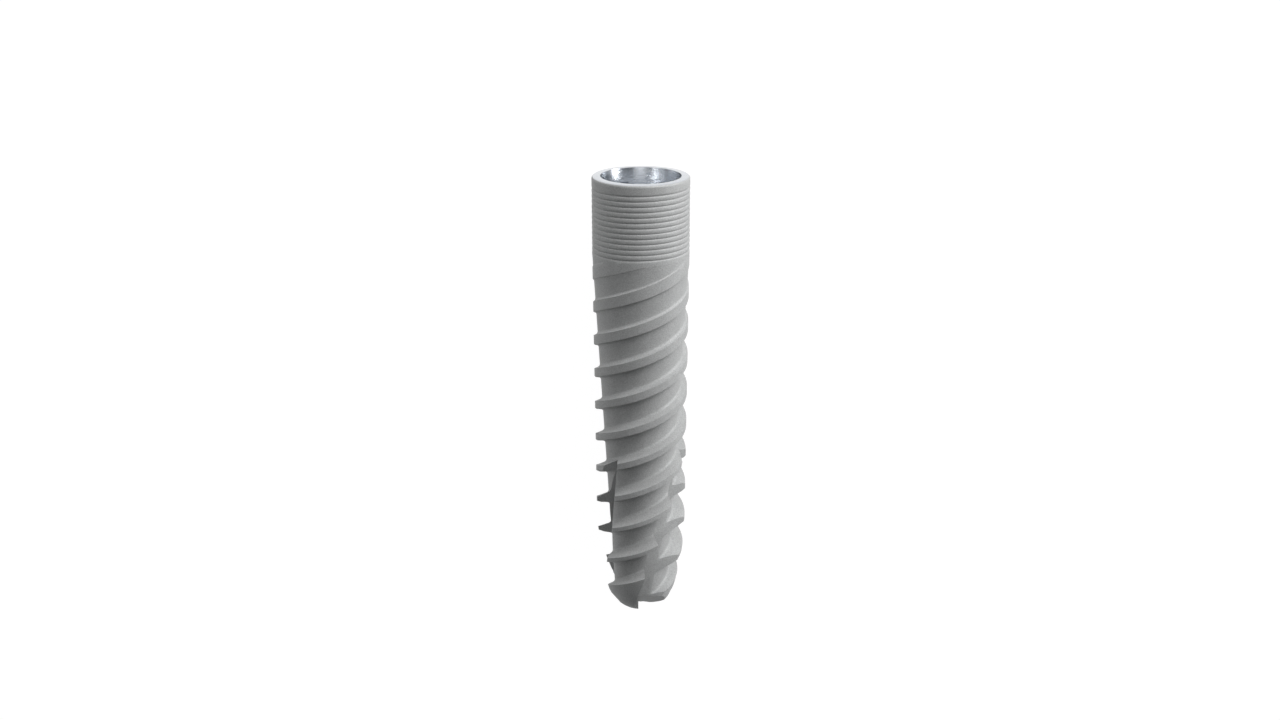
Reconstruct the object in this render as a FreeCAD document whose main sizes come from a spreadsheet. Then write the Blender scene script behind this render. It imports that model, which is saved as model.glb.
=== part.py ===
"""Dental implant: one turned and milled titanium fixture, 3.3 mm in diameter and 16 mm long.

A cylindrical collar with a flat rim holds a conical connection with index slots and a blind
screw bore. Below the collar thread grooves wind side by side down a tapering core, so that the
crests of the right-hand thread grow taller and thinner towards the apex. The grooves end on the
dome of the apex. Cutting flutes are milled straight down into the apical part, wind round it
below their bend, and end in faces ground across the tip.

The fixture is drawn upright, with its rim at height 0 and the apex below. Its Placement then
lays it down on the surface at height 0, the axis along Y and the rim towards +Y.
Depths are measured from the rim. The front is the -Y side of the upright fixture.
"""

import FreeCAD, Part
import math
import os
import Sketcher

Vector = FreeCAD.Vector
Constraint = Sketcher.Constraint

DIMENSIONS = [
    ("overall_length", 16.0, "rim to apex"),
    ("collar_radius", 1.65, "outside of the collar"),
    ("collar_length", 2.63, "depth where the thread grooves begin"),
    ("rim_bevel", 0.08, "bevel round the outside of the rim"),
    ("crest_radius", 1.569, "thread crests where the nose begins"),
    ("nose_length", 3.6, "apex to where the crests begin to round in"),
    ("dome_radius", 1.25, "sphere of the apex"),
    ("core_angle", 3.26, "half angle of the core in degrees"),
    ("thread_starts", 3, "grooves that wind side by side"),
    ("thread_lead", 3.557, "advance of a groove in one turn"),
    ("thread_top", 1.807, "depth of the first groove's upper root on the +X side"),
    ("thread_end", 1.64, "apex to the upper root where a groove ends"),
    ("groove_width", 0.765, "bottom of a groove along the core"),
    ("groove_reach", 1.1, "height of the groove's cutting profile"),
    ("upper_flank_angle", 5.0, "flank under a crest, from square to the axis, in degrees"),
    ("lower_flank_angle", 22.0, "flank over a crest, from square to the axis, in degrees"),
    ("flute_count", 3, "cutting flutes round the apex"),
    ("flute_bend", 3.4, "apex to where a flute begins to wind"),
    ("flute_floor", 1.018, "axis to the flat floor of a flute at the bend"),
    ("floor_lean", 4.3, "lean of the floor outwards to the bend in degrees"),
    ("wall_back", 0.08, "wall of the flute behind the axis at the bend"),
    ("wall_lean", 22.0, "lean of the wall from the axis in degrees"),
    ("wall_height", 2.4, "bend to where the run-out arc begins"),
    ("cutter_radius", 2.5, "run-out arc at the upper end of a flute"),
    ("cutter_room", 0.6, "travel of the cutter beyond the metal"),
    ("cutter_overlap", 0.1, "straight cut carried on past the bend"),
    ("flute_twist", 12.7, "turn of the winding part in degrees for each unit of depth"),
    ("flute_taper", 3.3, "half angle at which the winding part closes in, in degrees"),
    ("point_length", 0.14, "apex to where a ground face meets the axis"),
    ("point_angle", 52.0, "ground face from square to the axis, in degrees"),
    ("point_turn", 30.0, "turn of a ground face from the straight floor, in degrees"),
    ("point_wall", 0.09, "wall of a ground face behind the axis"),
    ("mouth_radius", 1.36, "mouth of the conical connection"),
    ("cone_angle", 8.0, "half angle of the connection in degrees"),
    ("cone_depth", 1.9, "rim to the floor of the connection"),
    ("slot_count", 6, "index slots in the cone"),
    ("slot_width", 0.28, "width of an index slot"),
    ("slot_top", 0.47, "rim to the top of the index slots"),
    ("slot_radius", 1.36, "axis to the bottom of an index slot"),
    ("slot_turn", 5.0, "turn of the first index slot back from the +X side in degrees"),
    ("relief_radius", 0.8, "clearance bore above the screw thread"),
    ("relief_depth", 2.9, "rim to the end of the clearance bore"),
    ("screw_radius", 0.625, "core of the thread for an M1.6 screw"),
    ("screw_depth", 7.0, "rim to the end of the full screw bore"),
    ("drill_angle", 59.0, "half angle of the drilled end in degrees"),
]

WINDING_STEPS = 4


def make_sheet(doc):
    """Write the driving dimensions into the spreadsheet, each with its alias."""
    sheet = doc.addObject("Spreadsheet::Sheet", "Sheet")
    for row, (alias, value, note) in enumerate(DIMENSIONS, start=1):
        sheet.set("A%d" % row, alias)
        sheet.set("B%d" % row, str(value))
        sheet.set("C%d" % row, note)
        sheet.setAlias("B%d" % row, alias)
    doc.recompute()
    return sheet


def slope(degrees):
    """Give the tangent of an angle in degrees."""
    return math.tan(math.radians(degrees))


def origin_item(body, role):
    """Find one of the body's own origin planes or axes."""
    return next(item for item in body.Origin.OriginFeatures if item.Role == role)


def new_sketch(body, role, name):
    """Start a sketch on one of the body's origin planes."""
    sketch = body.newObject("Sketcher::SketchObject", name)
    sketch.AttachmentSupport = [(origin_item(body, role), "")]
    sketch.MapMode = "FlatFace"
    return sketch


def bind(sketch, name, expression, constraint):
    """Add a constraint and tie its value to the sheet."""
    index = sketch.addConstraint(constraint)
    sketch.renameConstraint(index, name)
    sketch.setExpression("Constraints." + name, expression)


def hold(sketch, name, edge, end, across, along):
    """Hold the end of an edge at its distances from the sketch's two axes."""
    x, y = float(sketch.evalExpression(across)), float(sketch.evalExpression(along))
    bind(sketch, name + "_across", across, Constraint("DistanceX", -1, 1, edge, end, x))
    bind(sketch, name + "_along", along, Constraint("DistanceY", -1, 1, edge, end, y))


def add_line(sketch, start, end):
    """Draw a straight edge and give its number."""
    return sketch.addGeometry(Part.LineSegment(Vector(*start, 0), Vector(*end, 0)), False)


def add_arc(sketch, centre, radius, first, last):
    """Draw an arc, counted counter-clockwise in degrees, and give its number."""
    circle = Part.Circle(Vector(*centre, 0), Vector(0, 0, 1), radius)
    arc = Part.ArcOfCircle(circle, math.radians(first), math.radians(last))
    return sketch.addGeometry(arc, False)


def add_chain(sketch, points):
    """Draw straight edges from point to point, joined end to end."""
    edges = [add_line(sketch, start, end) for start, end in zip(points, points[1:])]
    for first, second in zip(edges, edges[1:]):
        sketch.addConstraint(Constraint("Coincident", first, 2, second, 1))
    return edges


def add_polygon(sketch, corners):
    """Draw a closed polygon from named corners, each with its place and its two expressions."""
    places = [place for _, place, _, _ in corners]
    edges = add_chain(sketch, places + places[:1])
    sketch.addConstraint(Constraint("Coincident", edges[-1], 2, edges[0], 1))
    for edge, (name, _, across, along) in zip(edges, corners):
        hold(sketch, name, edge, 1, across, along)


def revolve(body, kind, name, sketch):
    """Turn a sketch all the way round the axis, to add or to cut metal."""
    feature = body.newObject(kind, name)
    feature.Profile = sketch
    feature.ReferenceAxis = (sketch, ["V_Axis"])
    feature.Angle = 360
    return feature


def repeat_round(body, name, features, count):
    """Repeat features evenly round the axis."""
    pattern = body.newObject("PartDesign::PolarPattern", name)
    pattern.Originals = features
    pattern.Axis = (origin_item(body, "Z_Axis"), [""])
    pattern.Angle = 360
    pattern.setExpression("Occurrences", count)
    body.Tip = pattern
    return pattern


def turn_outside(body, sheet):
    """Turn the collar, the line of the crests, the rounded nose and the dome."""
    sketch = new_sketch(body, "XZ_Plane", "outside_profile")
    collar, crest, dome = sheet.collar_radius, sheet.crest_radius, sheet.dome_radius
    nose, tip = sheet.overall_length - sheet.nose_length, sheet.overall_length
    taper = math.atan((collar - crest) / (nose - sheet.collar_length))
    outward = Vector(math.cos(taper), -math.sin(taper), 0)
    to_crest = Vector(crest, tip - dome - nose, 0)
    nose_radius = (to_crest.dot(to_crest) - dome ** 2) / (to_crest.dot(outward) - dome) / 2
    nose_centre = Vector(crest, -nose, 0) - outward * nose_radius
    shoulder = math.degrees(math.atan2(dome - tip - nose_centre.y, -nose_centre.x))

    side = add_chain(sketch, [
        (0, 0),
        (collar - sheet.rim_bevel, 0),
        (collar, -sheet.rim_bevel),
        (collar, -sheet.collar_length),
        (crest, -nose),
    ])
    rounding = add_arc(sketch, (nose_centre.x, nose_centre.y), nose_radius, shoulder, -math.degrees(taper))
    cap = add_arc(sketch, (0, dome - tip), dome, -90, shoulder)
    axis = add_line(sketch, (0, -tip), (0, 0))

    sketch.addConstraint(Constraint("Coincident", side[0], 1, -1, 1))
    sketch.addConstraint(Constraint("Coincident", axis, 2, -1, 1))
    sketch.addConstraint(Constraint("Coincident", cap, 1, axis, 1))
    sketch.addConstraint(Constraint("Tangent", side[3], 2, rounding, 2))
    sketch.addConstraint(Constraint("Tangent", rounding, 1, cap, 2))
    hold(sketch, "dome_centre", cap, 3, "0", "Sheet.dome_radius - Sheet.overall_length")
    hold(sketch, "tip", axis, 1, "0", "-Sheet.overall_length")
    hold(sketch, "rim", side[0], 2, "Sheet.collar_radius - Sheet.rim_bevel", "0")
    hold(sketch, "bevel", side[1], 2, "Sheet.collar_radius", "-Sheet.rim_bevel")
    hold(sketch, "collar_end", side[2], 2, "Sheet.collar_radius", "-Sheet.collar_length")
    hold(sketch, "nose", side[3], 2, "Sheet.crest_radius", "Sheet.nose_length - Sheet.overall_length")
    return revolve(body, "PartDesign::Revolution", "outside", sketch)


def cut_thread(body, sheet):
    """Cut one groove along the core cone, and repeat it for the other starts."""
    sketch = new_sketch(body, "XZ_Plane", "groove_profile")
    top, width, reach = sheet.thread_top, sheet.groove_width, sheet.groove_reach
    cone = slope(sheet.core_angle)
    upper = (sheet.collar_radius + cone * (sheet.collar_length - top), -top)
    lower = (upper[0] - cone * width, -top - width)
    upper_out = (upper[0] + reach, upper[1] + reach * slope(sheet.upper_flank_angle))
    lower_out = (lower[0] + reach, lower[1] - reach * slope(sheet.lower_flank_angle))
    upper_across = "Sheet.collar_radius + tan(Sheet.core_angle * 1 deg) * (Sheet.collar_length - Sheet.thread_top)"
    lower_across = upper_across + " - tan(Sheet.core_angle * 1 deg) * Sheet.groove_width"
    lower_along = "-Sheet.thread_top - Sheet.groove_width"
    upper_rise = " + Sheet.groove_reach * tan(Sheet.upper_flank_angle * 1 deg)"
    lower_drop = " - Sheet.groove_reach * tan(Sheet.lower_flank_angle * 1 deg)"
    add_polygon(sketch, [
        ("upper_root", upper, upper_across, "-Sheet.thread_top"),
        ("lower_root", lower, lower_across, lower_along),
        ("lower_out", lower_out, lower_across + " + Sheet.groove_reach", lower_along + lower_drop),
        ("upper_out", upper_out, upper_across + " + Sheet.groove_reach", "-Sheet.thread_top" + upper_rise),
    ])
    groove = body.newObject("PartDesign::SubtractiveHelix", "thread_groove")
    groove.Profile = sketch
    groove.ReferenceAxis = (origin_item(body, "Z_Axis"), [""])
    groove.Mode = "pitch-height-angle"
    groove.LeftHanded = False
    groove.Reversed = True
    groove.setExpression("Pitch", "Sheet.thread_lead")
    groove.setExpression("Height", "Sheet.overall_length - Sheet.thread_end - Sheet.thread_top")
    groove.setExpression("Angle", "-Sheet.core_angle")
    return repeat_round(body, "thread_grooves", [groove], "Sheet.thread_starts")


def mill_straight(body, sheet):
    """Mill the straight part of a flute, from its run-out arc down to the bend.

    The sketch lies on the flute's flat floor, which leans outwards to the bend. Its closed
    outline is the way of the cutter: the wall, the run-out arc and the open side in front.
    """
    sketch = new_sketch(body, "YZ_Plane", "flute_path")
    bend = sheet.overall_length - sheet.flute_bend
    sketch.AttachmentOffset = FreeCAD.Placement(
        Vector(0, 0, bend * slope(sheet.floor_lean) - sheet.flute_floor),
        FreeCAD.Rotation(Vector(1, 0, 0), sheet.floor_lean),
    )
    bend_depth = "(Sheet.overall_length - Sheet.flute_bend)"
    floor_shift = bend_depth + " * tan(Sheet.floor_lean * 1 deg) - Sheet.flute_floor"
    sketch.setExpression("AttachmentOffset.Base.z", floor_shift)
    sketch.setExpression("AttachmentOffset.Rotation.Angle", "Sheet.floor_lean * 1 deg")

    lean = math.radians(sheet.wall_lean)
    radius, lap = sheet.cutter_radius, sheet.cutter_overlap
    end = (sheet.wall_back + lap * math.tan(lean), -bend - lap)
    start = (sheet.wall_back - sheet.wall_height * math.tan(lean), sheet.wall_height - bend)
    centre = (start[0] - radius * math.cos(lean), start[1] - radius * math.sin(lean))
    open_side = -sheet.collar_radius - sheet.cutter_room
    turn = math.acos((open_side - centre[0]) / radius)
    out = (open_side, centre[1] + radius * math.sin(turn))

    wall = add_line(sketch, end, start)
    run_out = add_arc(sketch, centre, radius, sheet.wall_lean, math.degrees(turn))
    front = add_line(sketch, out, (open_side, end[1]))
    bottom = add_line(sketch, (open_side, end[1]), end)
    sketch.addConstraint(Constraint("Tangent", wall, 2, run_out, 1))
    sketch.addConstraint(Constraint("Coincident", run_out, 2, front, 1))
    sketch.addConstraint(Constraint("Coincident", front, 2, bottom, 1))
    sketch.addConstraint(Constraint("Coincident", bottom, 2, wall, 1))
    sketch.addConstraint(Constraint("Vertical", front))
    bind(sketch, "cutter", "Sheet.cutter_radius", Constraint("Radius", run_out, radius))
    lean_rise = "Sheet.wall_back - Sheet.wall_height * tan(Sheet.wall_lean * 1 deg)"
    lean_drop = "Sheet.wall_back + Sheet.cutter_overlap * tan(Sheet.wall_lean * 1 deg)"
    hold(sketch, "wall_top", wall, 2, lean_rise, "Sheet.wall_height - " + bend_depth)
    hold(sketch, "wall_end", wall, 1, lean_drop, "-" + bend_depth + " - Sheet.cutter_overlap")
    open_across = "-Sheet.collar_radius - Sheet.cutter_room"
    hold(sketch, "open_side", front, 2, open_across, "-" + bend_depth + " - Sheet.cutter_overlap")

    flute = body.newObject("PartDesign::Pocket", "flute_straight")
    flute.Profile = sketch
    flute.setExpression("Length", "Sheet.collar_radius")
    body.Document.recompute()
    return flute


def mill_winding(body, sheet):
    """Carry a flute on from the bend, turning it round the axis and closing in to the apex."""
    reach = -sheet.collar_radius - sheet.cutter_room
    reach_text = "-Sheet.collar_radius - Sheet.cutter_room"
    sections = []
    for number in range(WINDING_STEPS + 1):
        share = number / WINDING_STEPS
        fall = (sheet.flute_bend + sheet.cutter_room) * share
        fall_text = "(Sheet.flute_bend + Sheet.cutter_room) * %s" % share
        sketch = new_sketch(body, "XY_Plane", "flute_section_%d" % number)
        sketch.AttachmentOffset = FreeCAD.Placement(
            Vector(0, 0, sheet.flute_bend - sheet.overall_length - fall),
            FreeCAD.Rotation(Vector(0, 0, 1), -sheet.flute_twist * fall),
        )
        height_text = "Sheet.flute_bend - Sheet.overall_length - " + fall_text
        sketch.setExpression("AttachmentOffset.Base.z", height_text)
        sketch.setExpression("AttachmentOffset.Rotation.Angle", "-Sheet.flute_twist * 1 deg * " + fall_text)
        floor = fall * slope(sheet.flute_taper) - sheet.flute_floor
        floor_text = fall_text + " * tan(Sheet.flute_taper * 1 deg) - Sheet.flute_floor"
        add_polygon(sketch, [
            ("corner", (floor, sheet.wall_back), floor_text, "Sheet.wall_back"),
            ("floor_end", (floor, reach), floor_text, reach_text),
            ("open_end", (reach, reach), reach_text, reach_text),
            ("wall_out", (reach, sheet.wall_back), reach_text, "Sheet.wall_back"),
        ])
        sections.append(sketch)
    body.Document.recompute()
    winding = body.newObject("PartDesign::SubtractiveLoft", "flute_winding")
    winding.Profile = sections[0]
    winding.Sections = sections[1:]
    winding.Ruled = False
    body.Document.recompute()
    return winding


def grind_point(body, sheet):
    """Grind the face that ends a flute, sloping across the axis at the very tip."""
    sketch = new_sketch(body, "XZ_Plane", "point_section")
    turned = 180 - sheet.point_turn
    sketch.AttachmentOffset = FreeCAD.Placement(
        Vector(
            sheet.point_wall * math.sin(math.radians(turned)),
            0,
            sheet.point_wall * math.cos(math.radians(turned)),
        ),
        FreeCAD.Rotation(Vector(0, 1, 0), turned),
    )
    turned_text = "180 deg - Sheet.point_turn * 1 deg"
    sketch.setExpression("AttachmentOffset.Base.x", "Sheet.point_wall * sin(" + turned_text + ")")
    sketch.setExpression("AttachmentOffset.Base.z", "Sheet.point_wall * cos(" + turned_text + ")")
    sketch.setExpression("AttachmentOffset.Rotation.Angle", turned_text)
    reach, below = sheet.collar_radius, -sheet.overall_length - sheet.cutter_room
    rise = slope(sheet.point_angle)
    on_axis = sheet.point_length - sheet.overall_length
    below_text = "-Sheet.overall_length - Sheet.cutter_room"
    axis_text = "Sheet.point_length - Sheet.overall_length"
    rise_text = "tan(Sheet.point_angle * 1 deg)"
    inner_text = "-(Sheet.point_length + Sheet.cutter_room) * " + rise_text
    add_polygon(sketch, [
        ("face_top", (reach, on_axis + reach / rise), "Sheet.collar_radius",
         axis_text + " + Sheet.collar_radius / " + rise_text),
        ("face_end", (-(on_axis - below) * rise, below), inner_text, below_text),
        ("outside", (reach, below), "Sheet.collar_radius", below_text),
    ])
    point = body.newObject("PartDesign::Pocket", "flute_point")
    point.Profile = sketch
    point.setExpression("Length", "Sheet.collar_radius + Sheet.point_wall")
    body.Document.recompute()
    return point


def mill_flutes(body, sheet):
    """Mill one flute in its three parts, and repeat it round the apex."""
    parts = [mill_straight(body, sheet), mill_winding(body, sheet), grind_point(body, sheet)]
    return repeat_round(body, "flutes", parts, "Sheet.flute_count")


def bore_connection(body, sheet):
    """Bore the conical connection, the clearance bore and the blind bore for the screw."""
    sketch = new_sketch(body, "XZ_Plane", "bore_profile")
    mouth, cone = sheet.mouth_radius, sheet.cone_depth
    seat = mouth - cone * slope(sheet.cone_angle)
    relief, screw = sheet.relief_radius, sheet.screw_radius
    end = sheet.screw_depth + screw / slope(sheet.drill_angle)
    seat_across = "Sheet.mouth_radius - Sheet.cone_depth * tan(Sheet.cone_angle * 1 deg)"
    end_along = "-Sheet.screw_depth - Sheet.screw_radius / tan(Sheet.drill_angle * 1 deg)"
    add_polygon(sketch, [
        ("middle", (0, 0), "0", "0"),
        ("mouth", (mouth, 0), "Sheet.mouth_radius", "0"),
        ("seat", (seat, -cone), seat_across, "-Sheet.cone_depth"),
        ("relief_top", (relief, -cone), "Sheet.relief_radius", "-Sheet.cone_depth"),
        ("relief_end", (relief, -sheet.relief_depth), "Sheet.relief_radius", "-Sheet.relief_depth"),
        ("screw_top", (screw, -sheet.relief_depth), "Sheet.screw_radius", "-Sheet.relief_depth"),
        ("screw_end", (screw, -sheet.screw_depth), "Sheet.screw_radius", "-Sheet.screw_depth"),
        ("drill_point", (0, -end), "0", end_along),
    ])
    return revolve(body, "PartDesign::Groove", "bore", sketch)


def cut_index_slots(body, sheet):
    """Cut one index slot down the cone's wall, and repeat it round the connection."""
    sketch = new_sketch(body, "XY_Plane", "slot_outline")
    sketch.AttachmentOffset = FreeCAD.Placement(
        Vector(0, 0, -sheet.slot_top),
        FreeCAD.Rotation(Vector(0, 0, 1), -sheet.slot_turn),
    )
    sketch.setExpression("AttachmentOffset.Base.z", "-Sheet.slot_top")
    sketch.setExpression("AttachmentOffset.Rotation.Angle", "-Sheet.slot_turn * 1 deg")
    inner, outer, half = sheet.relief_radius, sheet.slot_radius, sheet.slot_width / 2
    add_polygon(sketch, [
        ("inner_low", (inner, -half), "Sheet.relief_radius", "-Sheet.slot_width / 2"),
        ("outer_low", (outer, -half), "Sheet.slot_radius", "-Sheet.slot_width / 2"),
        ("outer_high", (outer, half), "Sheet.slot_radius", "Sheet.slot_width / 2"),
        ("inner_high", (inner, half), "Sheet.relief_radius", "Sheet.slot_width / 2"),
    ])
    slot = body.newObject("PartDesign::Pocket", "index_slot")
    slot.Profile = sketch
    slot.setExpression("Length", "Sheet.cone_depth - Sheet.slot_top")
    return repeat_round(body, "index_slots", [slot], "Sheet.slot_count")


def cut(doc, body, step, sheet):
    """Run one cutting step and make sure that it takes metal away."""
    before = body.Shape.Volume
    step(body, sheet)
    doc.recompute()
    if body.Shape.Volume > before - 1e-4:
        raise RuntimeError(step.__name__ + " cut nothing")
    print(step.__name__, "took", round(before - body.Shape.Volume, 4), "mm3")


def check_document(doc, body):
    """Stop if any object of the document failed, or if the solid is not whole."""
    failed = [item.Name for item in doc.Objects if "Invalid" in item.State or "Error" in item.State]
    if failed:
        raise RuntimeError("failed objects: " + ", ".join(failed))
    if body.Shape.isNull() or not body.Shape.isValid() or len(body.Shape.Solids) != 1:
        raise RuntimeError(body.Label + " is not one valid solid")


def main():
    doc = FreeCAD.newDocument("dental_implant")
    sheet = make_sheet(doc)
    body = doc.addObject("PartDesign::Body", "Implant")
    body.Label = "implant_body"
    turn_outside(body, sheet)
    doc.recompute()
    for step in (cut_thread, mill_flutes, bore_connection, cut_index_slots):
        cut(doc, body, step, sheet)
    lying = FreeCAD.Rotation(Vector(1, 0, 0), -90)
    middle = Vector(0, sheet.overall_length / 2, sheet.collar_radius)
    body.Placement = FreeCAD.Placement(middle, lying)
    doc.recompute()
    check_document(doc, body)
    print("volume", round(body.Shape.Volume, 4), "mm3")
    os.makedirs("parts", exist_ok=True)
    body.Shape.exportStep("parts/" + body.Label + ".step")


main()
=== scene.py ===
"""Looks of a dental implant: the etched and machined titanium fixture, its stage and its camera.

The fixture is worked out in its own drawing, in metres: a depth below the rim, a radius, and an
azimuth round the axis that is 0 at the front and grows to the right. It then lies along Y, with
its rim towards +Y and its front up.
"""

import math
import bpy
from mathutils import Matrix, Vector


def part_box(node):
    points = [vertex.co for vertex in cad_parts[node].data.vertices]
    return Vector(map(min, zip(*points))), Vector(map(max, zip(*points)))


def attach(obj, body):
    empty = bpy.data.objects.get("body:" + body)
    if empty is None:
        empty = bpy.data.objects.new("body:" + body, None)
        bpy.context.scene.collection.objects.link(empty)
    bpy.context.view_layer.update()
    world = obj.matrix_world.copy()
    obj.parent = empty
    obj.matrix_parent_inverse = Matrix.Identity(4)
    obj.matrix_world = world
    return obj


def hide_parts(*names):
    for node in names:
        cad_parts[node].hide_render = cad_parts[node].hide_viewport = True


bl_info = {
    "name": "Dental Implant",
    "version": (1, 0, 0),
    "blender": (4, 5, 0),
    "location": "View3D > Sidebar > Implant",
    "description": "Builds a threaded titanium fixture on a plain stage",
    "category": "Add Mesh",
}

import bmesh
import bpy
import numpy as np
from bpy.props import FloatProperty, FloatVectorProperty, IntProperty, PointerProperty
from mathutils import Matrix, Vector

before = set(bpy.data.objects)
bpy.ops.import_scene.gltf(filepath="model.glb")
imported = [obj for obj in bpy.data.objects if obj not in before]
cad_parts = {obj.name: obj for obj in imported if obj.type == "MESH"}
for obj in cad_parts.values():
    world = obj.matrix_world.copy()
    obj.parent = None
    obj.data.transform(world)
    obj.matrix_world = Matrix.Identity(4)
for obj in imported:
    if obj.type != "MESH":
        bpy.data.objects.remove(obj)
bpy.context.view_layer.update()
NODE_LOW, NODE_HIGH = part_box("implant_body")
RIM_Y = NODE_HIGH.y
AXIS_X = (NODE_LOW.x + NODE_HIGH.x) / 2
AXIS_Z = (NODE_LOW.z + NODE_HIGH.z) / 2
COLLAR_RADIUS = (NODE_HIGH.x - NODE_LOW.x) / 2
MM = 0.001
LENGTH = 16 * MM
TURN = 2 * math.pi
ETCHED, MACHINED = 0, 1

# Grooves enough to reach from the collar to the apex on every side
GROOVES = range(-2, 15)
# Rise of a groove's root to its way along the axis, past the depth where the groove ends
RUN_OUT = 3
# Turn of the fine thread where its lead-in begins, and the turns that a lead-in takes
FINE_START, FINE_LEAD = -0.55, 0.3
# Spacing of the mesh rows beside a root, in millimetres
FLANK_STEP = 0.12
# The collar's end to the last row of its own mesh, and the last row of the thread to the apex
COLLAR_SEAM = 0.03 * MM
APEX_ROWS = 0.4 * MM

# How far the cutters reach out, and past the apex, and back over the cut before
CUTTER_REACH = 2.25 * MM
CUTTER_ROOM = 0.6 * MM
WINDING_OVERLAP = 0.05 * MM

# Sizes of what is merged while the metal is cut, in millimetres
MERGE, SLIVER = 0.0003, 0.0005
SHARP = math.radians(25)

BLACK = (0, 0, 0, 1)
WHITE = (1, 1, 1, 1)
# Size of a pit to the size of a cloud, and the spacing of the rings that the tool leaves
CLOUDING = 0.12
RING_PITCH = 0.006 * MM
# Width of the camera's sensor in millimetres
SENSOR = 36

# Each lamp's name, its place and side in millimetres, and its watts
LAMPS = (
    ("key", (130, 20, 14), 60, 0.115),
    ("upper_right", (90, 110, 50), 70, 0.165),
    ("top", (10, 140, 50), 80, 0.075),
    ("front", (0, 40, 140), 80, 0.025),
    ("left", (-120, 60, 50), 70, 0.018),
    ("glint", (-88, 38, 96), 26, 0.012),
)


def length(name, description, millimetres):
    """Make a length property with a default in millimetres."""
    return FloatProperty(
        name=name, description=description, default=millimetres * MM, unit="LENGTH", precision=6
    )


def angle(name, description, degrees):
    """Make an angle property with a default in degrees."""
    return FloatProperty(
        name=name, description=description, default=math.radians(degrees), unit="ROTATION"
    )


def fraction(name, description, default):
    """Make a property for a share of one."""
    return FloatProperty(
        name=name, description=description, default=default, subtype="FACTOR", min=0, max=1
    )


def colour(name, description, default):
    """Make a colour property."""
    return FloatVectorProperty(
        name=name, description=description, default=default, subtype="COLOR", min=0, max=1
    )


class FixtureSizes(bpy.types.PropertyGroup):
    """Sizes of the turned, threaded and milled fixture."""

    steps_round: IntProperty(
        name="Steps Round", description="Mesh columns round the axis", default=144
    )
    rim_bevel: length("Rim Bevel", "Rounding round the outside of the rim", 0.08)
    collar_length: length("Collar Length", "Depth where the large grooves begin", 2.63)
    crest_radius: length("Crest Radius", "Thread crests where the nose begins", 1.569)
    nose_length: length("Nose Length", "Apex to where the crests begin to round in", 3.6)
    dome_radius: length("Dome Radius", "Sphere of the apex", 1.25)

    fine_pitch: length("Fine Pitch", "Spacing of the fine collar thread", 0.1794)
    fine_first: length("First Fine Groove", "Depth of the first fine groove at the front", 0.371)
    fine_depth: length("Fine Depth", "Depth of the fine collar thread", 0.035)
    fine_turns: FloatProperty(name="Fine Turns", description="Turns of the fine thread", default=12.6)

    core_angle: angle("Core Angle", "Half angle of the thread's core", 3.26)
    thread_starts: IntProperty(name="Thread Starts", description="Grooves side by side", default=3)
    thread_lead: length("Thread Lead", "Advance of a groove in one turn", 3.557)
    thread_top: length("Thread Top", "Depth of the first groove's upper root at the right", 1.807)
    thread_end: length("Thread End", "Apex to the upper root where a groove ends", 1.64)
    groove_width: length("Groove Width", "Bottom of a groove along the core", 0.765)
    upper_flank: angle("Upper Flank", "Flank under a crest, from square to the axis", 5)
    lower_flank: angle("Lower Flank", "Flank over a crest, from square to the axis", 22)
    upper_fillet: length("Upper Fillet", "Rounding at the root under a crest", 0.08)
    lower_fillet: length("Lower Fillet", "Rounding at the root over a crest", 0.12)
    edge_break: length("Edge Break", "Broken edge under a crest", 0.045)
    edge_full: length("Full Edge", "Groove depth from which the edge is fully broken", 0.25)

    flute_count: IntProperty(name="Flutes", description="Cutting flutes round the apex", default=3)
    flute_bend: length("Flute Bend", "Apex to where a flute begins to wind", 3.4)
    flute_floor: length("Flute Floor", "Axis to the flat floor of a flute at the bend", 1.018)
    floor_lean: angle("Floor Lean", "Lean of the floor outwards to the bend", 4.3)
    wall_back: length("Wall Back", "Wall of the flute behind the axis at the bend", 0.08)
    wall_lean: angle("Wall Lean", "Lean of the wall from the axis", 22)
    wall_height: length("Wall Height", "Bend to where the run-out arc begins", 2.4)
    cutter_radius: length("Cutter Radius", "Run-out arc at the upper end of a flute", 2.5)
    cutter_overlap: length("Cutter Overlap", "Straight cut carried on past the bend", 0.1)
    flute_twist: FloatProperty(
        name="Flute Twist", description="Turn of the winding part, in degrees a millimetre", default=12.7
    )
    flute_taper: angle("Flute Taper", "Half angle at which the winding part closes in", 3.3)
    point_length: length("Point Length", "Apex to where a ground face meets the axis", 0.14)
    point_angle: angle("Point Angle", "Ground face from square to the axis", 52)
    point_turn: angle("Point Turn", "Turn of a ground face from the straight floor", 30)
    point_wall: length("Point Wall", "Wall of a ground face behind the axis", 0.09)

    mouth_radius: length("Mouth Radius", "Mouth of the conical connection", 1.36)
    cone_angle: angle("Cone Angle", "Half angle of the connection", 8)
    cone_depth: length("Cone Depth", "Rim to the floor of the connection", 1.9)
    slot_count: IntProperty(name="Slots", description="Index slots in the cone", default=6)
    slot_width: length("Slot Width", "Width of an index slot", 0.28)
    slot_top: length("Slot Top", "Rim to the top of the index slots", 0.47)
    slot_turn: angle("Slot Turn", "Azimuth of the first index slot", 25)
    relief_radius: length("Relief Radius", "Clearance bore above the screw thread", 0.8)
    relief_depth: length("Relief Depth", "Rim to the end of the clearance bore", 2.9)
    screw_radius: length("Screw Radius", "Core of the screw thread", 0.625)
    screw_depth: length("Screw Depth", "Rim to the end of the full screw bore", 7.0)
    screw_pitch: length("Screw Pitch", "Pitch of the screw thread", 0.35)
    screw_groove: length("Screw Groove", "Depth of the screw thread", 0.17)
    drill_angle: angle("Drill Angle", "Half angle of the drilled end", 59)


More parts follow.
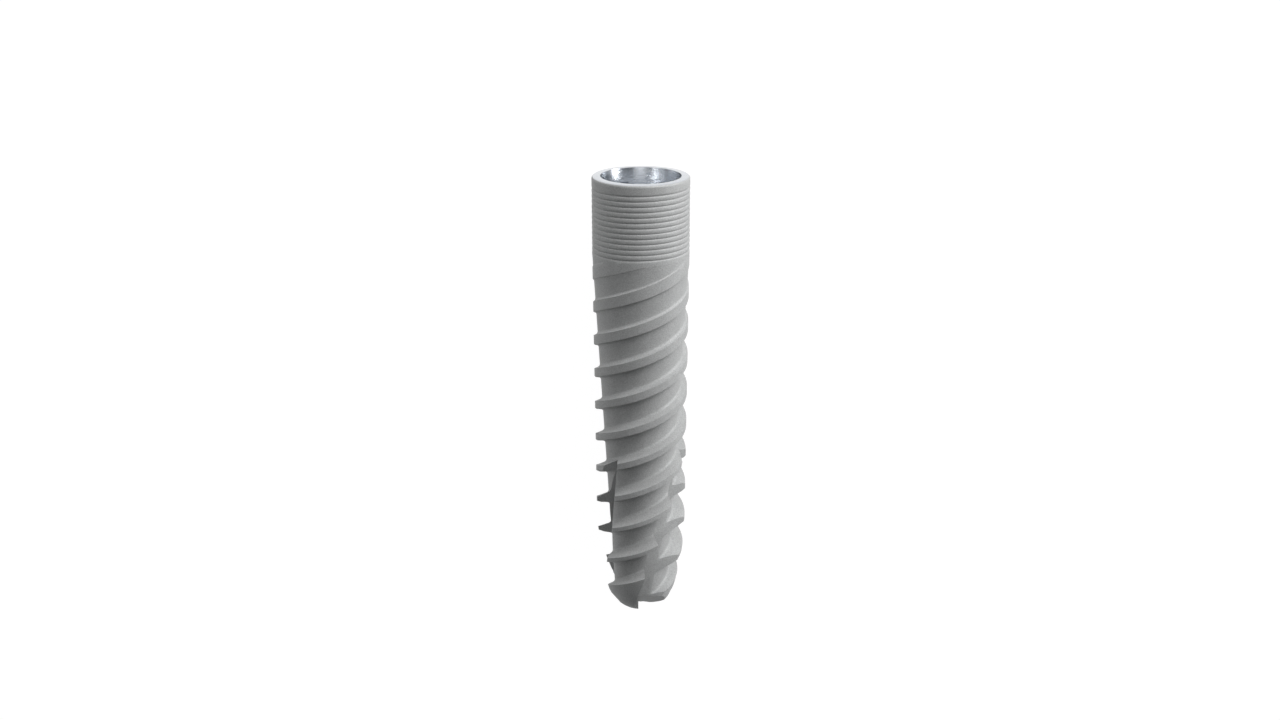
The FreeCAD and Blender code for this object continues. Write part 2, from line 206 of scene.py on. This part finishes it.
class FinishValues(bpy.types.PropertyGroup):
    """Colours and grain of the titanium.

    A shade is a share of the colour: where the noise is nothing, plus what full noise adds.
    """

    etched_colour: colour("Etched Titanium", "Blasted and etched outside", (0.45, 0.456, 0.456))
    machined_colour: colour("Machined Titanium", "Bright turned bore and rim", (0.58, 0.605, 0.64))
    etched_metal: fraction("Etched Metal", "How metallic the outside looks", 0.2)
    etched_roughness: fraction("Etched Roughness", "Roughness of the outside", 0.62)
    etched_shade: fraction("Etched Shade", "Shade of the outside with no noise", 0.302)
    pit_shade: fraction("Pit Shade", "Shade that the pits add", 0.9)
    cloud_shade: fraction("Cloud Shade", "Shade that the clouding adds", 0.1)
    cloud_gloss: fraction("Cloud Gloss", "Roughness that the clouding changes", 0.06)
    grain: length("Grain", "Size of the etched pits", 0.035)
    pit_depth: fraction("Pit Depth", "Height of the pits to their size", 0.25)
    pit_bump: fraction("Pit Bump", "Strength of the pits", 0.35)
    machined_roughness: fraction("Machined Roughness", "Roughness of the bore", 0.12)
    machined_shade: fraction("Machined Shade", "Shade of the bore with no noise", 0.9)
    ring_shade: fraction("Ring Shade", "Shade that the tool's rings add", 0.15)
    ring_gloss: fraction("Ring Gloss", "Roughness that the tool's rings add", 0.08)
    ring_depth: length("Ring Depth", "Height of the rings that the tool leaves", 0.002)
    ring_bump: fraction("Ring Bump", "Strength of the rings", 0.8)


class StageValues(bpy.types.PropertyGroup):
    """Floor, light and camera."""

    floor_colour: colour("Floor", "Plain pale floor", (0.9, 0.9, 0.9))
    floor_side: length("Floor Side", "Side of the square floor", 600)
    camera_ahead: length("Camera Ahead", "Camera in front of the axis", 50.34)
    camera_above: length("Camera Above", "Camera beyond the plane of the rim", 10.69)
    target_depth: length("Target Depth", "Depth of the point that the camera looks at", 6.5)
    camera_left: length("Camera Left", "Camera to the left of the axis", 0.029)
    lens: FloatProperty(name="Lens", description="Focal length", default=43.124, unit="CAMERA")
    floor_seen: fraction("Floor Seen", "How much of the floor the camera sees as plain white", 0.9)
    floor_glow: FloatProperty(name="Floor Glow", description="Strength of that white", default=1.08)
    sky_colour: colour("Sky", "Light from all round", (0.95, 0.98, 1))
    sky_strength: fraction("Sky Strength", "Strength of the light from all round", 0.07)


def outside_radius(sizes, depth):
    """Radius of the turned outside at a depth, before any thread is cut."""
    nose = LENGTH - sizes.nose_length
    dome_centre = LENGTH - sizes.dome_radius
    taper = math.atan((COLLAR_RADIUS - sizes.crest_radius) / (nose - sizes.collar_length))
    out, down = math.cos(taper), math.sin(taper)
    across, along = sizes.crest_radius, dome_centre - nose
    reach = across * out - along * down - sizes.dome_radius
    nose_radius = (across**2 + along**2 - sizes.dome_radius**2) / reach / 2
    nose_across = sizes.crest_radius - out * nose_radius
    nose_along = nose - down * nose_radius
    touch = nose_along + (dome_centre - nose_along) * nose_radius / (nose_radius - sizes.dome_radius)
    depth = np.asarray(depth, float)
    bevel = np.clip(1 - depth / sizes.rim_bevel, 0, 1)
    rim = COLLAR_RADIUS - sizes.rim_bevel * (1 - np.sqrt(1 - bevel**2))
    crest = COLLAR_RADIUS - (depth - sizes.collar_length) * math.tan(taper)
    rounding = nose_across + np.sqrt(np.clip(nose_radius**2 - (depth - nose_along) ** 2, 0, None))
    dome = np.sqrt(np.clip(sizes.dome_radius**2 - (depth - dome_centre) ** 2, 0, None))
    below = np.where(depth < nose, crest, np.where(depth < touch, rounding, dome))
    return np.where(depth < sizes.collar_length, rim, below)


def rounded_corner(corner, one, other, radius, steps):
    """Give the points of an arc that rounds a corner, from the one side to the other."""
    one, other = Vector(one).normalized(), Vector(other).normalized()
    half = one.angle(other) / 2
    centre = Vector(corner) + (one + other).normalized() * radius / math.sin(half)
    start = Vector(corner) + one * radius / math.tan(half) - centre
    end = Vector(corner) + other * radius / math.tan(half) - centre
    points = []
    for step in range(steps + 1):
        share = step / steps
        turn = start.angle(end)
        ray = start * math.sin((1 - share) * turn) + end * math.sin(share * turn)
        points.append(centre + ray / math.sin(turn))
    return points


def groove_outline(sizes):
    """Section of a large groove as steps outwards and down from its upper root."""
    cone = math.tan(sizes.core_angle)
    root = Vector((-cone * sizes.groove_width, sizes.groove_width))
    upper = Vector((1, -math.tan(sizes.upper_flank)))
    lower = Vector((1, math.tan(sizes.lower_flank)))
    along = Vector((-cone, 1))
    reach = sizes.crest_radius
    upper_arc = rounded_corner((0, 0), upper, along, sizes.upper_fillet, 4)
    lower_arc = rounded_corner(root, -along, lower, sizes.lower_fillet, 5)
    flank = [upper_arc[0] + upper * FLANK_STEP * MM * k for k in (2, 1)]
    rise = [lower_arc[-1] + lower * FLANK_STEP * MM * k for k in (1, 2)]
    middle = [root * share for share in (0.35, 0.6)]
    points = [upper * reach] + flank + upper_arc + middle + lower_arc + rise + [root + lower * reach]
    return np.array([point.x for point in points]), np.array([point.y for point in points])


def trim_groove(sizes, depth, radius):
    """Cut a groove's section off where it leaves the metal, and gather its ends on the outside."""
    gap = radius - outside_radius(sizes, depth)
    lowest = int(np.argmin(gap))
    if gap[lowest] >= 0:
        flat = np.full(len(depth), depth[lowest])
        return flat, outside_radius(sizes, flat)
    broken = sizes.edge_break * min(1, -gap[lowest] / sizes.edge_full)
    upper = max(k for k in range(lowest) if gap[k] >= -broken)
    lower = min(k for k in range(lowest, len(gap)) if gap[k] >= 0)
    first = upper + (gap[upper] + broken) / (gap[upper] - gap[upper + 1])
    last = lower - gap[lower] / (gap[lower] - gap[lower - 1])
    places = np.arange(len(depth))
    kept = np.clip(places, first, last)
    depth, radius = np.interp(kept, places, depth), np.interp(kept, places, radius)
    depth[0] -= broken
    off = (places == 0) | (places > last)
    return depth, np.where(off, outside_radius(sizes, depth), radius)


def thread_rows(sizes, around):
    """Rows of the large thread: each groove's section, and the land between two grooves."""
    out, down = groove_outline(sizes)
    spacing = sizes.thread_lead / sizes.thread_starts
    end = LENGTH - sizes.thread_end
    top, bottom = sizes.collar_length - COLLAR_SEAM, LENGTH - APEX_ROWS
    sections = []
    for number in GROOVES:
        rows = []
        for azimuth in around:
            root = sizes.thread_top + number * spacing - sizes.thread_lead * (azimuth / TURN - 0.25)
            core = COLLAR_RADIUS + math.tan(sizes.core_angle) * (sizes.collar_length - root)
            rise = max(0.0, root - end) * RUN_OUT
            rows.append(trim_groove(sizes, root + down, core + rise + out))
        sections.append(np.array(rows).transpose(1, 2, 0))
    depth, radius = [], []
    for before, after in zip([None] + sections, sections):
        if before is not None:
            for share in (0.25, 0.5, 0.75):
                land = before[0][-1] * (1 - share) + after[0][0] * share
                depth.append(land[None])
                radius.append(outside_radius(sizes, land)[None])
        depth.append(after[0])
        radius.append(after[1])
    depth, radius = np.concatenate(depth), np.concatenate(radius)
    kept = np.clip(depth, top, bottom)
    return kept, np.where(kept == depth, radius, outside_radius(sizes, kept))


def fine_rows(around, pitch, first, top, bottom, section, radius_at):
    """Rows of a fine single thread between two depths.

    The section holds each row's place in the pitch and its share of the groove's depth.
    """
    rows = []
    low = math.floor((top - first) / pitch) - 1
    high = math.ceil((bottom - first) / pitch) + 2
    for number in range(low, high):
        for at, share in section:
            turns = number + at - around / TURN
            rows.append((first + pitch * turns, share, turns))
    depth = np.clip(np.array([row[0] for row in rows]), top, bottom)
    share = np.array([np.full(len(around), row[1]) for row in rows])
    turns = np.array([row[2] for row in rows])
    inside = (depth > top) & (depth < bottom)
    return depth, radius_at(depth, np.where(inside, share, 0), turns)


def collar_rows(sizes, around):
    """Rows of the collar's fine rounded thread."""
    places = (-0.5, -0.34, -0.2, -0.09, -0.03, 0.03, 0.09, 0.2, 0.34)
    power = 2.2
    section = [(p, 1 - (1 - (1 - 2 * abs(p)) ** power) ** (1 / power)) for p in places]

    def radius_at(depth, share, turns):
        lead_in = np.clip((turns - FINE_START) / FINE_LEAD, 0, 1)
        lead_out = np.clip((sizes.fine_turns - turns) / FINE_LEAD, 0, 1)
        return outside_radius(sizes, depth) - sizes.fine_depth * share * (lead_in * lead_out)

    top, bottom = sizes.rim_bevel * 1.2, sizes.collar_length - COLLAR_SEAM
    return fine_rows(around, sizes.fine_pitch, sizes.fine_first, top, bottom, section, radius_at)


def screw_rows(sizes, around):
    """Rows of the screw thread in the bore."""
    section = [(-0.5, 0), (-0.42, 0), (-0.06, 1), (0.06, 1), (0.42, 0)]

    def radius_at(depth, share, turns):
        edge = np.minimum(depth - sizes.relief_depth, sizes.screw_depth - depth) / sizes.screw_pitch
        return sizes.screw_radius + sizes.screw_groove * share * np.clip(edge * 2, 0, 1)

    top, bottom = sizes.relief_depth, sizes.screw_depth
    return fine_rows(around, sizes.screw_pitch, top, top, bottom, section, radius_at)


def plain_rows(around, points):
    """Rows that run level round the axis, from points of depth and radius."""
    depth = np.array([np.full(len(around), point[0]) for point in points])
    radius = np.array([np.full(len(around), point[1]) for point in points])
    return depth, radius


def place(depth, radius, azimuth):
    """Turn a depth, radius and azimuth into a point where the fixture lies.

    The metal is cut in millimetres, because the cuts are finer than the solver's smallest step in
    metres, and the finished mesh is scaled down.
    """
    across, up = AXIS_X + radius * np.sin(azimuth), AXIS_Z + radius * np.cos(azimuth)
    return (across / MM, (RIM_Y - depth) / MM, up / MM)


def turned_mesh(sizes):
    """Make the turned and threaded solid, before it is milled, as one closed skin."""
    around = np.linspace(-math.pi, math.pi, sizes.steps_round + 1)
    dome = [LENGTH - APEX_ROWS * math.cos(math.radians(step)) for step in range(15, 91, 15)]
    bevel = [sizes.rim_bevel * (1 - math.cos(math.radians(step))) for step in range(90, -1, -18)]
    seat = sizes.mouth_radius - sizes.cone_depth * math.tan(sizes.cone_angle)
    end = sizes.screw_depth + sizes.screw_radius / math.tan(sizes.drill_angle)
    cone = [
        (sizes.cone_depth * share, sizes.mouth_radius + (seat - sizes.mouth_radius) * share)
        for share in (0, 0.01, 0.3, 0.6, 0.99, 1)
    ]
    relief = [(sizes.cone_depth, sizes.relief_radius), (sizes.relief_depth, sizes.relief_radius)]
    outside = [
        collar_rows(sizes, around),
        thread_rows(sizes, around),
        plain_rows(around, [(d, float(outside_radius(sizes, d))) for d in dome[:-1]] + [(LENGTH, 0)]),
    ]
    inside = [
        plain_rows(around, cone + relief + [(sizes.relief_depth, sizes.screw_radius)]),
        screw_rows(sizes, around),
        plain_rows(around, [(sizes.screw_depth, sizes.screw_radius), (end, 0)]),
    ]
    rim = plain_rows(around, [(d, float(outside_radius(sizes, d))) for d in bevel[::-1]])
    inner = [tuple(part[::-1] for part in band) for band in reversed(inside)]
    bands = inner + [rim] + outside
    depth = np.concatenate([band[0] for band in bands])
    radius = np.concatenate([band[1] for band in bands])
    points = np.stack(place(depth, radius, around[None, :]), axis=-1)
    machined = sum(len(band[0]) for band in inner) + 2
    return skin(points, lambda row: MACHINED if row < machined else ETCHED)


def skin(points, material_of):
    """Join a grid of points into a mesh, closed round the axis and at its ends."""
    rows, columns = points.shape[:2]
    mesh = bpy.data.meshes.new("fixture")
    work = bmesh.new()
    vertices = [work.verts.new(point) for point in points.reshape(-1, 3)]
    for row in range(rows - 1):
        for column in range(columns - 1):
            corner = row * columns + column
            ring = (corner, corner + 1, corner + 1 + columns, corner + columns)
            face = work.faces.new([vertices[k] for k in ring])
            face.material_index = material_of(row)
    bmesh.ops.remove_doubles(work, verts=work.verts, dist=MERGE)
    bmesh.ops.recalc_face_normals(work, faces=work.faces)
    work.to_mesh(mesh)
    work.free()
    return mesh


def on_flute(depth, side, front, turn):
    """Place a point by its distances to the side and to the front of a flute that is turned."""
    return place(depth, math.hypot(side, front), math.atan2(side, front) + turn)


def add_prism(work, rings, material):
    """Add a closed prism through rings of points to a mesh."""
    loops = [[work.verts.new(point) for point in ring] for ring in rings]
    count = len(loops[0])
    faces = [work.faces.new(loops[0]), work.faces.new(loops[-1][::-1])]
    for one, other in zip(loops, loops[1:]):
        for k in range(count):
            after = (k + 1) % count
            faces.append(work.faces.new((one[k], other[k], other[after], one[after])))
    for face in faces:
        face.material_index = material


def straight_rings(sizes, turn):
    """Sides of the straight cut: its leaning floor, its wall, and the run-out arc above."""
    bend, far = LENGTH - sizes.flute_bend, CUTTER_REACH
    lean, radius = sizes.wall_lean, sizes.cutter_radius
    end = bend + sizes.cutter_overlap
    start = (sizes.wall_height * math.tan(lean) - sizes.wall_back, bend - sizes.wall_height)
    centre = (start[0] + radius * math.cos(lean), start[1] + radius * math.sin(lean))
    last = math.acos((centre[0] - far) / radius)
    outline = [(-sizes.wall_back - sizes.cutter_overlap * math.tan(lean), end)]
    for step in range(13):
        ray = lean + (last - lean) * step / 12
        outline.append((centre[0] - radius * math.cos(ray), centre[1] - radius * math.sin(ray)))
    outline.append((far, end))
    floor = [sizes.flute_floor + (depth - bend) * math.tan(sizes.floor_lean) for _, depth in outline]
    inner = [on_flute(depth, -side, front, turn) for side, (front, depth) in zip(floor, outline)]
    return [inner, [on_flute(depth, -far, front, turn) for front, depth in outline]]


def winding_rings(sizes, turn):
    """Sections of the part of a flute that winds round the axis and closes in to the apex."""
    far, steps, parts = CUTTER_REACH, 24, 8
    rings = []
    for step in range(steps + 1):
        fall = (sizes.flute_bend + CUTTER_ROOM) * step / steps - WINDING_OVERLAP
        floor = sizes.flute_floor - fall * math.tan(sizes.flute_taper)
        corners = [(-floor, far + (-sizes.wall_back - far) * k / parts) for k in range(parts)]
        corners += [(-floor + (floor - far) * k / parts, -sizes.wall_back) for k in range(parts)]
        corners += [(-far, -sizes.wall_back), (-far, far)]
        turned = turn - math.radians(sizes.flute_twist) * fall / MM
        depth = LENGTH - sizes.flute_bend + fall
        rings.append([on_flute(depth, *corner, turned) for corner in corners])
    return rings


def point_rings(sizes, turn):
    """Ends of the wedge that grinds a sloping face across the tip."""
    reach, below = COLLAR_RADIUS, LENGTH + CUTTER_ROOM
    rise = math.tan(sizes.point_angle)
    on_axis = LENGTH - sizes.point_length
    turned = turn - math.pi / 2 - sizes.point_turn
    wedge = ((reach, on_axis - reach / rise), (-(below - on_axis) * rise, below), (reach, below))
    return [
        [on_flute(depth, across, ahead, turned) for ahead, depth in wedge]
        for across in (-sizes.point_wall, reach)
    ]


def slot_rings(sizes, turn):
    """Upper and lower end of an index slot."""
    half = sizes.slot_width / 2
    corners = ((-half, sizes.relief_radius), (-half, sizes.mouth_radius))
    corners += ((half, sizes.mouth_radius), (half, sizes.relief_radius))
    ends = (sizes.slot_top, sizes.cone_depth)
    return [[on_flute(depth, *corner, turn) for corner in corners] for depth in ends]


def dress(mesh, surfaces):
    """Give a mesh the etched and the machined surface, which its faces tell apart by number."""
    for surface in surfaces:
        mesh.materials.append(surface)


def cutter(cuts, material):
    """Make the closed solids that metal is cut away with, as one mesh that faces outwards."""
    work = bmesh.new()
    for rings in cuts:
        add_prism(work, rings, material)
    bmesh.ops.triangulate(work, faces=work.faces)
    if work.calc_volume(signed=True) < 0:
        bmesh.ops.reverse_faces(work, faces=work.faces)
    mesh = bpy.data.meshes.new("cutter")
    work.to_mesh(mesh)
    work.free()
    return mesh


def mill(piece, sizes, surfaces):
    """Cut the flutes, their ground points and the index slots."""
    flutes = [number * TURN / sizes.flute_count for number in range(sizes.flute_count)]
    slots = [sizes.slot_turn + number * TURN / sizes.slot_count for number in range(sizes.slot_count)]
    tools = [
        cutter([slot_rings(sizes, turn) for turn in slots], MACHINED),
        cutter([straight_rings(sizes, turn) for turn in flutes], ETCHED),
        cutter([winding_rings(sizes, turn) for turn in flutes], ETCHED),
    ]
    tools += [cutter([point_rings(sizes, turn)], ETCHED) for turn in flutes]
    for tool in tools:
        dress(tool, surfaces)
        cut_away(piece, tool)


def new_object(name, mesh):
    """Put a mesh into the scene as an object."""
    made = bpy.data.objects.new(name, mesh)
    bpy.context.scene.collection.objects.link(made)
    return made


def cut_away(piece, mesh):
    """Take a cutter's solids out of the piece, and drop the cutter."""
    tool = new_object("cutter", mesh)
    cut = piece.modifiers.new("cut", "BOOLEAN")
    cut.operation = "DIFFERENCE"
    cut.solver = "MANIFOLD"
    cut.material_mode = "INDEX"
    cut.object = tool
    settle(piece)
    bpy.data.objects.remove(tool)


def settle(piece):
    """Apply the piece's modifiers to its mesh."""
    graph = bpy.context.evaluated_depsgraph_get()
    mesh = bpy.data.meshes.new_from_object(piece.evaluated_get(graph))
    piece.modifiers.clear()
    piece.data = mesh


def clean_up(piece):
    """Drop the slivers that the cuts leave, and shade flats flat and rounds round."""
    work = bmesh.new()
    work.from_mesh(piece.data)
    bmesh.ops.remove_doubles(work, verts=work.verts, dist=SLIVER)
    bmesh.ops.dissolve_degenerate(work, edges=work.edges, dist=SLIVER)
    bmesh.ops.triangulate(work, faces=[face for face in work.faces if len(face.verts) > 4])
    work.to_mesh(piece.data)
    work.free()
    piece.data.transform(Matrix.Scale(MM, 4))
    piece.data.shade_smooth()
    piece.data.set_sharp_from_angle(angle=SHARP)
    weighted = piece.modifiers.new("weighted", "WEIGHTED_NORMAL")
    weighted.keep_sharp = True
    settle(piece)


class Sum:
    """A shader socket that takes part in arithmetic, each step a Math node."""

    def __init__(self, shader, socket):
        self.shader = shader
        self.socket = socket

    def step(self, operation, one, other):
        """Add the Math node of one step."""
        return self.shader.node("ShaderNodeMath", {"operation": operation}, {0: one, 1: other}).value(0)

    def __add__(self, other):
        return self.step("ADD", self, other)

    __radd__ = __add__

    def __mul__(self, other):
        return self.step("MULTIPLY", self, other)

    __rmul__ = __mul__

    def __sub__(self, other):
        return self.step("SUBTRACT", self, other)

    def __rsub__(self, other):
        return self.step("SUBTRACT", other, self)


class Made:
    """A shader node, whose outputs are asked for by name or number."""

    def __init__(self, shader, node):
        self.shader = shader
        self.node = node

    def value(self, output):
        return Sum(self.shader, self.node.outputs[output])


class Shader:
    """The node tree of a material or the world."""

    def __init__(self, owner):
        owner.use_nodes = True
        self.tree = owner.node_tree
        self.tree.nodes.clear()

    def node(self, kind, settings=None, sockets=None):
        """Add a node, set its settings, then fill or link its sockets."""
        node = self.tree.nodes.new(kind)
        for name, value in (settings or {}).items():
            setattr(node, name, value)
        for name, value in (sockets or {}).items():
            if isinstance(value, Sum):
                self.tree.links.new(value.socket, node.inputs[name])
            else:
                node.inputs[name].default_value = value
        return Made(self, node)

    def noise(self, sockets, settings=None):
        """Add a noise and give its strength."""
        return self.node("ShaderNodeTexNoise", settings, sockets).value("Fac")

    def shaded(self, base, shade):
        """Bring a colour towards black where the shade is below 1."""
        settings = {"data_type": "RGBA", "blend_type": "MIX"}
        sockets = {0: shade, 6: BLACK, 7: tuple(base) + (1,)}
        return self.node("ShaderNodeMix", settings, sockets).value(2)

    def bump(self, height, strength, distance):
        """Add a bump and give its normal."""
        sockets = {"Height": height, "Strength": strength, "Distance": distance}
        return self.node("ShaderNodeBump", {}, sockets).value("Normal")

    def metal(self, tone, metallic, roughness, normal):
        """Finish the material as metal."""
        sockets = {"Base Color": tone, "Metallic": metallic, "Roughness": roughness, "Normal": normal}
        surface = self.node("ShaderNodeBsdfPrincipled", {}, sockets).value("BSDF")
        self.node("ShaderNodeOutputMaterial", {}, {"Surface": surface})


def etched_titanium(finish):
    """Blasted and etched titanium: matt, with fine pits and faint clouding."""
    material = bpy.data.materials.new("etched_titanium")
    shader = Shader(material)
    where = shader.node("ShaderNodeTexCoord").value("Object")
    pits = shader.noise({"Vector": where, "Scale": 1 / finish.grain, "Detail": 3, "Roughness": 0.6})
    clouds = shader.noise({"Vector": where, "Scale": CLOUDING / finish.grain, "Detail": 2})
    shade = finish.etched_shade + pits * finish.pit_shade + clouds * finish.cloud_shade
    shader.metal(
        shader.shaded(finish.etched_colour, shade),
        finish.etched_metal,
        finish.etched_roughness + clouds * finish.cloud_gloss - finish.cloud_gloss / 2,
        shader.bump(pits, finish.pit_bump, finish.grain * finish.pit_depth),
    )
    return material


def machined_titanium(finish):
    """Bright turned titanium: fine rings left by the tool."""
    material = bpy.data.materials.new("machined_titanium")
    shader = Shader(material)
    where = shader.node("ShaderNodeTexCoord").value("Object")
    along = shader.node("ShaderNodeSeparateXYZ", {}, {"Vector": where}).value("Y")
    sockets = {"W": along * (1 / RING_PITCH), "Scale": 1, "Detail": 2}
    rings = shader.noise(sockets, {"noise_dimensions": "1D"})
    shader.metal(
        shader.shaded(finish.machined_colour, finish.machined_shade + rings * finish.ring_shade),
        1.0,
        finish.machined_roughness + rings * finish.ring_gloss,
        shader.bump(rings, finish.ring_bump, finish.ring_depth),
    )
    return material


def floor_material(values):
    """Pale floor that reads as white to the eye and to metal, and still takes a soft shadow."""
    material = bpy.data.materials.new("pale_floor")
    shader = Shader(material)
    path = shader.node("ShaderNodeLightPath")
    seen = path.value("Is Camera Ray") * values.floor_seen
    seen = seen + path.value("Is Glossy Ray") + path.value("Is Transmission Ray")
    base = tuple(values.floor_colour) + (1,)
    glow = {"Color": WHITE, "Strength": values.floor_glow}
    matt = shader.node("ShaderNodeBsdfDiffuse", {}, {"Color": base}).value("BSDF")
    white = shader.node("ShaderNodeEmission", {}, glow).value("Emission")
    surface = shader.node("ShaderNodeMixShader", {}, {0: seen, 1: matt, 2: white}).value("Shader")
    shader.node("ShaderNodeOutputMaterial", {}, {"Surface": surface})
    return material


class IMPLANT_OT_fixture(bpy.types.Operator):
    """Build the fixture: turned, threaded, fluted and bored titanium in one piece"""

    bl_idname = "implant.fixture"
    bl_label = "Fixture"

    def execute(self, context):
        sizes, finish = context.scene.fixture_sizes, context.scene.fixture_finish
        surfaces = (etched_titanium(finish), machined_titanium(finish))
        piece = new_object("fixture", turned_mesh(sizes))
        dress(piece.data, surfaces)
        mill(piece, sizes, surfaces)
        clean_up(piece)
        if len(piece.data.polygons) < sizes.steps_round:
            raise RuntimeError("the fixture came out empty")
        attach(piece, "root")
        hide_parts("implant_body")
        return {"FINISHED"}


def add_lamp(name, place_at, side, power, target):
    """Add a square area lamp that shines at the target."""
    lamp = bpy.data.lights.new(name, "AREA")
    lamp.energy = power
    lamp.size = side
    holder = new_object(name, lamp)
    holder.location = place_at
    holder.rotation_euler = (Vector(target) - Vector(place_at)).to_track_quat("-Z", "Y").to_euler()


def aimed_camera(values):
    """Set up the camera above the fixture, level with the depth that it looks at."""
    camera = bpy.data.cameras.new("camera")
    camera.sensor_width = SENSOR
    camera.lens = values.lens
    camera.clip_start = 1 * MM
    holder = new_object("camera", camera)
    left = AXIS_X - values.camera_left
    stand = Vector((left, RIM_Y + values.camera_above, AXIS_Z + values.camera_ahead))
    aim = Vector((left, RIM_Y - values.target_depth, AXIS_Z))
    back = (stand - aim).normalized()
    right = Vector((0, 1, 0)).cross(back).normalized()
    turned = Matrix((right, back.cross(right), back)).transposed()
    holder.matrix_world = Matrix.Translation(stand) @ turned.to_4x4()
    return holder


class IMPLANT_OT_stage(bpy.types.Operator):
    """Build the pale floor, the soft lamps, the world and the camera"""

    bl_idname = "implant.stage"
    bl_label = "Stage"

    def execute(self, context):
        scene, values = context.scene, context.scene.fixture_stage
        half = values.floor_side / 2
        mesh = bpy.data.meshes.new("floor")
        mesh.from_pydata(
            [(-half, -half, 0), (half, -half, 0), (half, half, 0), (-half, half, 0)], [], [(0, 1, 2, 3)]
        )
        floor = new_object("floor", mesh)
        floor.data.materials.append(floor_material(values))

        target = (AXIS_X, RIM_Y - values.target_depth, AXIS_Z)
        for name, place_at, side, watts in LAMPS:
            add_lamp(name, [along * MM for along in place_at], side * MM, watts, target)

        world = bpy.data.worlds.new("studio")
        scene.world = world
        shader = Shader(world)
        sky = {"Color": tuple(values.sky_colour) + (1,), "Strength": values.sky_strength}
        light = shader.node("ShaderNodeBackground", {}, sky).value("Background")
        shader.node("ShaderNodeOutputWorld", {}, {"Surface": light})

        scene.camera = aimed_camera(values)
        scene.view_settings.view_transform = "Standard"
        return {"FINISHED"}


class IMPLANT_PT_panel(bpy.types.Panel):
    """Sizes, finish and stage of the fixture"""

    bl_idname = "IMPLANT_PT_panel"
    bl_label = "Dental Implant"
    bl_space_type = "VIEW_3D"
    bl_region_type = "UI"
    bl_category = "Implant"

    def draw(self, context):
        scene = context.scene
        for operator, group in (
            (IMPLANT_OT_fixture, scene.fixture_sizes),
            (None, scene.fixture_finish),
            (IMPLANT_OT_stage, scene.fixture_stage),
        ):
            box = self.layout.box()
            if operator:
                box.operator(operator.bl_idname)
            for name in group.__annotations__:
                box.prop(group, name)


CLASSES = (
    FixtureSizes,
    FinishValues,
    StageValues,
    IMPLANT_OT_fixture,
    IMPLANT_OT_stage,
    IMPLANT_PT_panel,
)


def register():
    for item in CLASSES:
        bpy.utils.register_class(item)
    bpy.types.Scene.fixture_sizes = PointerProperty(type=FixtureSizes)
    bpy.types.Scene.fixture_finish = PointerProperty(type=FinishValues)
    bpy.types.Scene.fixture_stage = PointerProperty(type=StageValues)


def unregister():
    del bpy.types.Scene.fixture_stage
    del bpy.types.Scene.fixture_finish
    del bpy.types.Scene.fixture_sizes
    for item in reversed(CLASSES):
        bpy.utils.unregister_class(item)


def main():
    register()
    bpy.ops.implant.fixture()
    bpy.ops.implant.stage()


if __name__ == "__main__":
    main()
